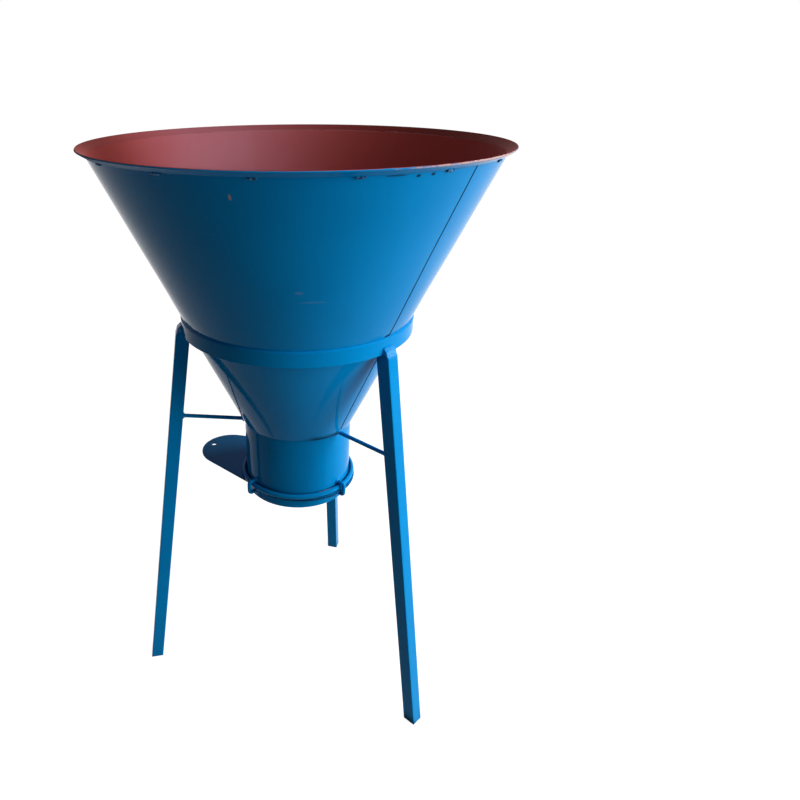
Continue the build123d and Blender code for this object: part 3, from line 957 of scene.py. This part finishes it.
class FUNNEL_OT_braces(bpy.types.Operator):
    """Rods between the cone's lower edge and the legs, with their weld beads"""

    bl_idname = "funnel.braces"
    bl_label = "Braces"

    def execute(self, context):
        size = sizes()
        lean, slope = leg_lean(), size.cone_half_angle
        low = BRACE_BOTTOM + ROD_RADIUS
        rises = {"right": 0.0, "rear": 0.0, "front": size.front_brace_rise}
        beads = []
        for name, angle in leg_angles().items():
            away, sideways = outward(angle), outward(angle + math.pi / 2)
            high = low + rises[name]
            leg_face = size.foot_radius - high * math.tan(lean) - size.leg_tube / 2 / math.cos(lean)
            inner = cone_radius(low) * away + low * UP
            outer = leg_face * away + high * UP
            path = inner + (outer - inner) * np.linspace(0, 1, 24)[:, None]
            piece = put(f"brace_{name}_rod", rod(path, sideways))
            dress(piece, enamel(), "stand", "stand_enamel", f"brace_{name}")
            cone_normal = away * math.cos(slope) - UP * math.sin(slope)
            leg_normal = -away * math.cos(lean) - UP * math.sin(lean)
            for end, normal in ((inner, cone_normal), (outer, leg_normal)):
                beads.append(ring_bead(end, normal, sideways, BRACE_BEAD))
        piece = put("brace_beads", *beads, closed=True)
        dress(piece, weld_paint(), "stand", "stand_enamel", "brace_welds")
        return {"FINISHED"}


def standing(bearing, distance, height):
    """Point at a bearing, taken from -Y towards +X, at a distance from the axis and a height."""
    return Vector((distance * math.sin(bearing), -distance * math.cos(bearing), height))


def shown(tree):
    """Socket that is 1 for what the camera sees, straight, mirrored or through glass, and 0 for light that
    falls on the part."""
    rays = tree.nodes.new("ShaderNodeLightPath").outputs
    total = rays["Is Camera Ray"]
    for kind in ("Is Glossy Ray", "Is Transmission Ray"):
        total = add(tree, "Math", {0: total, 1: rays[kind]}, operation="MAXIMUM")
    return total


def studio_paper():
    """Pale matt paper that glows white where it is seen, a little less near the part, and keeps shadows."""
    material, tree, where = new_material("studio_paper")
    far = add(tree, "VectorMath", {0: where}, operation="LENGTH")
    white = add(tree, "MapRange", {"Value": far, "From Min": 0.8, "From Max": 4.0,
                                   "To Min": 0.95, "To Max": 1.0})
    glow = add(tree, "Math", {0: shown(tree), 1: white}, operation="MULTIPLY")
    matt = add(tree, "BsdfDiffuse", {"Color": (0.3, 0.3, 0.3, 1)})
    lit = add(tree, "Emission", {"Strength": glow})
    both = add(tree, "AddShader", {0: matt, 1: lit})
    add(tree, "OutputMaterial", {"Surface": both})
    return material


class FUNNEL_OT_stage(bpy.types.Operator):
    """Pale floor, soft light from the right and the camera"""

    bl_idname = "funnel.stage"
    bl_label = "Stage"

    def execute(self, context):
        scene = context.scene
        stage = scene.funnel_stage
        scene.view_settings.view_transform = "Standard"
        # World: white where it is seen or mirrored, and dim as light
        scene.world = bpy.data.worlds.new("studio")
        scene.world.use_nodes = True
        tree = scene.world.node_tree
        tree.nodes.clear()
        strength = add(tree, "MapRange", {"Value": shown(tree), "To Min": 0.05, "To Max": 1.0})
        sky = add(tree, "Background", {"Color": (1, 1, 1, 1), "Strength": strength})
        add(tree, "OutputWorld", {"Surface": sky})
        # Floor
        mesh = bpy.data.meshes.new("floor")
        corners = [(x * FLOOR_REACH, y * FLOOR_REACH, 0) for x, y in ((-1, -1), (1, -1), (1, 1), (-1, 1))]
        mesh.from_pydata(corners, [], [(0, 1, 2, 3)])
        mesh.materials.append(studio_paper())
        floor = bpy.data.objects.new("floor", mesh)
        scene.collection.objects.link(floor)
        for name, (turn, distance, height, width, power) in LAMPS.items():
            light = bpy.data.lights.new(name, "AREA")
            light.shape = "SQUARE"
            light.size = width
            light.energy = power
            lamp = bpy.data.objects.new(name, light)
            scene.collection.objects.link(lamp)
            lamp.location = standing(stage.azimuth + math.radians(turn), distance, height)
            lamp.rotation_euler = (LAMP_AIM - lamp.location).to_track_quat("-Z", "Y").to_euler()
        # Camera at the photograph's viewpoint
        lens = bpy.data.cameras.new("camera")
        lens.lens = stage.lens
        lens.shift_x = stage.shift_across
        lens.shift_y = stage.shift_up
        lens.clip_start = 0.05
        camera = bpy.data.objects.new("camera", lens)
        scene.collection.objects.link(camera)
        place = Matrix.Translation(standing(stage.azimuth, stage.distance, stage.height))
        tilt = Matrix.Rotation(math.pi / 2 - stage.pitch, 4, "X")
        camera.matrix_world = (place @ Matrix.Rotation(stage.azimuth, 4, "Z") @ tilt
                               @ Matrix.Rotation(stage.roll, 4, "Z"))
        scene.camera = camera
        return {"FINISHED"}


PIECES = (FUNNEL_OT_hopper, FUNNEL_OT_rim, FUNNEL_OT_inside_welds, FUNNEL_OT_spout, FUNNEL_OT_clips,
          FUNNEL_OT_gate, FUNNEL_OT_band, FUNNEL_OT_legs, FUNNEL_OT_braces, FUNNEL_OT_stage)


class FUNNEL_PT_panel(bpy.types.Panel):
    """Lists the funnel's settings and the operators that build its pieces"""

    bl_idname = "FUNNEL_PT_panel"
    bl_label = "Funnel"
    bl_space_type = "VIEW_3D"
    bl_region_type = "UI"
    bl_category = "Funnel"

    def draw(self, context):
        column = self.layout.column()
        for group in (context.scene.funnel_sizes, context.scene.funnel_finish, context.scene.funnel_stage):
            for key in group.bl_rna.properties.keys():
                if key not in ("rna_type", "name"):
                    column.prop(group, key)
        for piece in PIECES:
            column.operator(piece.bl_idname)


CLASSES = (FunnelSizes, FunnelFinish, FunnelStage) + PIECES + (FUNNEL_PT_panel,)


def register():
    for item in CLASSES:
        bpy.utils.register_class(item)
    bpy.types.Scene.funnel_sizes = bpy.props.PointerProperty(type=FunnelSizes)
    bpy.types.Scene.funnel_finish = bpy.props.PointerProperty(type=FunnelFinish)
    bpy.types.Scene.funnel_stage = bpy.props.PointerProperty(type=FunnelStage)


def unregister():
    del bpy.types.Scene.funnel_sizes
    del bpy.types.Scene.funnel_finish
    del bpy.types.Scene.funnel_stage
    for item in reversed(CLASSES):
        bpy.utils.unregister_class(item)


def main():
    register()
    bpy.ops.funnel.stage()
    bpy.ops.funnel.hopper()
    bpy.ops.funnel.rim()
    bpy.ops.funnel.inside_welds()
    bpy.ops.funnel.spout()
    bpy.ops.funnel.clips()
    bpy.ops.funnel.gate()
    bpy.ops.funnel.band()
    bpy.ops.funnel.legs()
    bpy.ops.funnel.braces()


if __name__ == "__main__":
    main()
